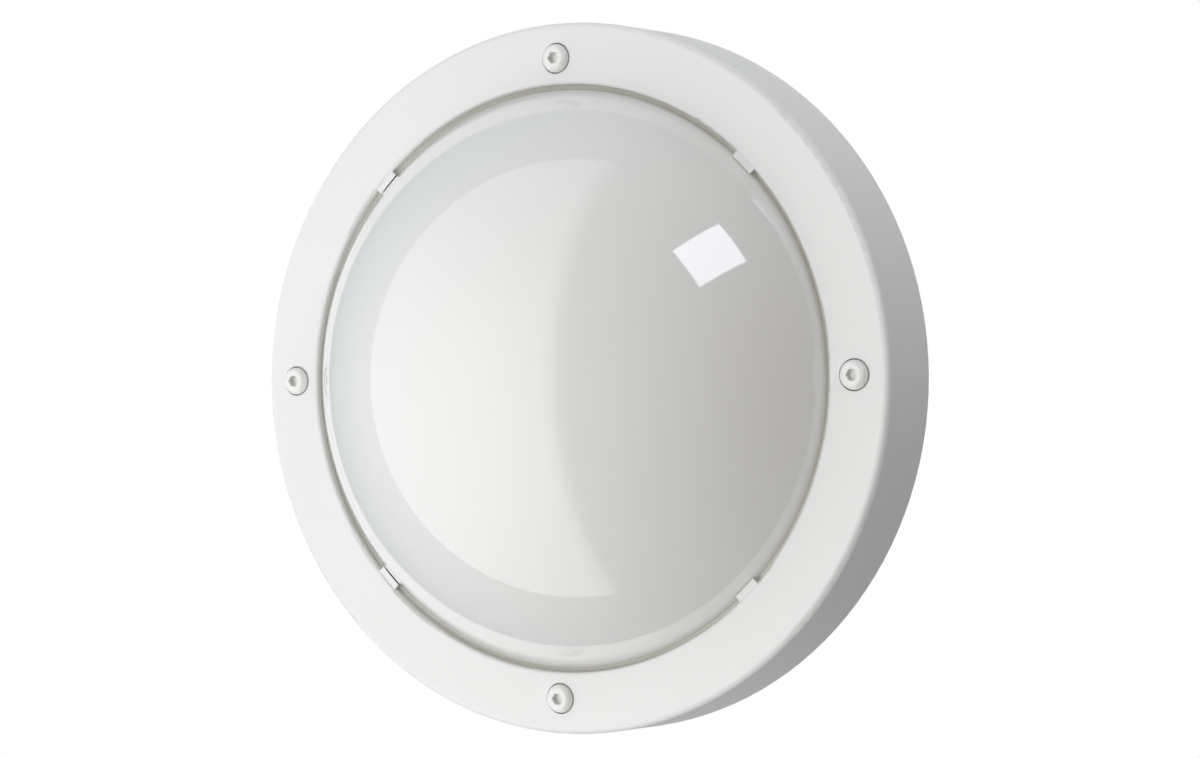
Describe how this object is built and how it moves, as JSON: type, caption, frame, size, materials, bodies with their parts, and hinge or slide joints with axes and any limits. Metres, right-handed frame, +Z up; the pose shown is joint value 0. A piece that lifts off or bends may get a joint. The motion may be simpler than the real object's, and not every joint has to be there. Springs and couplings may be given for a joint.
{
  "type": "soffit downlight",
  "caption": "Round surface bulkhead light with a flat white ring, a domed opal diffuser and captive hex socket screws, for a soffit, porch or wall.",
  "frame": {"origin": "centre of the back pan's mounting face", "axes": "-Y out of the light through the middle of the dome, +Y into the wall or soffit, +Z up in the picture, with the first cover screw at +Z"},
  "size_m": [0.2634, 0.093, 0.2634],
  "materials": {
    "cast_grey": "bare die-cast aluminium, lightly blasted",
    "seal_rubber": "EPDM rubber",
    "gasket_rubber": "white silicone rubber",
    "white_nylon": "moulded nylon",
    "brass_plain": "drawn brass",
    "zinc_steel": "zinc-plated steel",
    "tinned_copper": "tinned copper",
    "earth_sleeve": "green and yellow PVC sleeve",
    "live_sleeve": "brown PVC sleeve",
    "neutral_sleeve": "blue PVC sleeve",
    "driver_shell": "moulded polycarbonate",
    "board_green": "glass-epoxy board with solder resist",
    "component_black": "moulded component bodies",
    "tray_white": "gloss white paint on pressed steel",
    "thermal_grey": "silicone gap pad",
    "board_white": "white solder resist on an aluminium board",
    "led_yellow": "phosphor under clear silicone",
    "live_red": "red PVC sleeve",
    "led_black": "black PVC sleeve",
    "painted_white": "semi-gloss white powder coat on die-cast aluminium",
    "opal_shell": "glossy milk-white opal polycarbonate",
    "screw_white": "gloss white enamel on a steel screw",
    "washer_white": "nylon-faced sealing washer"
  },
  "bodies": {
    "base": {"base_pan": "cast_grey", "back_seal": "seal_rubber", "diffuser_gasket": "gasket_rubber", "cable_grommet": "seal_rubber", "blanking_grommet": "seal_rubber", "slot_seals": "seal_rubber", "terminal_block": "white_nylon", "terminal_contacts": "brass_plain", "terminal_screws": "zinc_steel", "terminal_fixings": "zinc_steel", "earth_tag": "tinned_copper", "earth_washer": "zinc_steel", "earth_screw": "zinc_steel", "earth_lead": "earth_sleeve", "live_lead": "live_sleeve", "neutral_lead": "neutral_sleeve", "driver_case": "driver_shell", "driver_cover": "driver_shell", "driver_board": "board_green", "driver_components": "component_black", "driver_screws": "zinc_steel", "gear_tray": "tray_white", "tray_screws": "zinc_steel", "thermal_pad": "thermal_grey", "led_board": "board_white", "led_chips": "led_yellow", "led_board_screws": "zinc_steel", "led_connector": "white_nylon", "lead_bush": "seal_rubber", "led_positive_lead": "live_red", "led_negative_lead": "led_black"},
    "cover": {"cover_ring": "painted_white", "diffuser": "opal_shell", "diffuser_clips": "zinc_steel", "clip_screws": "zinc_steel"},
    "carrier_1": {"seal_washer_1": "washer_white", "captive_ring_1": "white_nylon"},
    "screw_1": {"cover_screw_1": "screw_white"},
    "carrier_2": {"seal_washer_2": "washer_white", "captive_ring_2": "white_nylon"},
    "screw_2": {"cover_screw_2": "screw_white"},
    "carrier_3": {"seal_washer_3": "washer_white", "captive_ring_3": "white_nylon"},
    "screw_3": {"cover_screw_3": "screw_white"},
    "carrier_4": {"seal_washer_4": "washer_white", "captive_ring_4": "white_nylon"},
    "screw_4": {"cover_screw_4": "screw_white"}
  },
  "joints": [
    {"name": "cover_lift", "type": "slide", "parent": "base", "child": "cover", "axis": [0, -1, 0], "range_m": [0, 0.08]},
    {"name": "withdraw_1", "type": "slide", "parent": "cover", "child": "carrier_1", "axis": [0, -1, 0], "range_m": [0, 0.008]},
    {"name": "turn_1", "type": "hinge", "parent": "carrier_1", "child": "screw_1", "pos_m": [0, -0.02, 0.1171], "axis": [0, -1, 0], "range_deg": [0, 2880]},
    {"name": "withdraw_2", "type": "slide", "parent": "cover", "child": "carrier_2", "axis": [0, -1, 0], "range_m": [0, 0.008]},
    {"name": "turn_2", "type": "hinge", "parent": "carrier_2", "child": "screw_2", "pos_m": [0.1171, -0.02, 0], "axis": [0, -1, 0], "range_deg": [0, 2880]},
    {"name": "withdraw_3", "type": "slide", "parent": "cover", "child": "carrier_3", "axis": [0, -1, 0], "range_m": [0, 0.008]},
    {"name": "turn_3", "type": "hinge", "parent": "carrier_3", "child": "screw_3", "pos_m": [0, -0.02, -0.1171], "axis": [0, -1, 0], "range_deg": [0, 2880]},
    {"name": "withdraw_4", "type": "slide", "parent": "cover", "child": "carrier_4", "axis": [0, -1, 0], "range_m": [0, 0.008]},
    {"name": "turn_4", "type": "hinge", "parent": "carrier_4", "child": "screw_4", "pos_m": [-0.1171, -0.02, 0], "axis": [0, -1, 0], "range_deg": [0, 2880]}
  ],
  "couplings": [
    {"joint": "turn_1", "follows": "withdraw_1", "rad_per_m": 6283.2},
    {"joint": "turn_2", "follows": "withdraw_2", "rad_per_m": 6283.2},
    {"joint": "turn_3", "follows": "withdraw_3", "rad_per_m": 6283.2},
    {"joint": "turn_4", "follows": "withdraw_4", "rad_per_m": 6283.2}
  ]
}
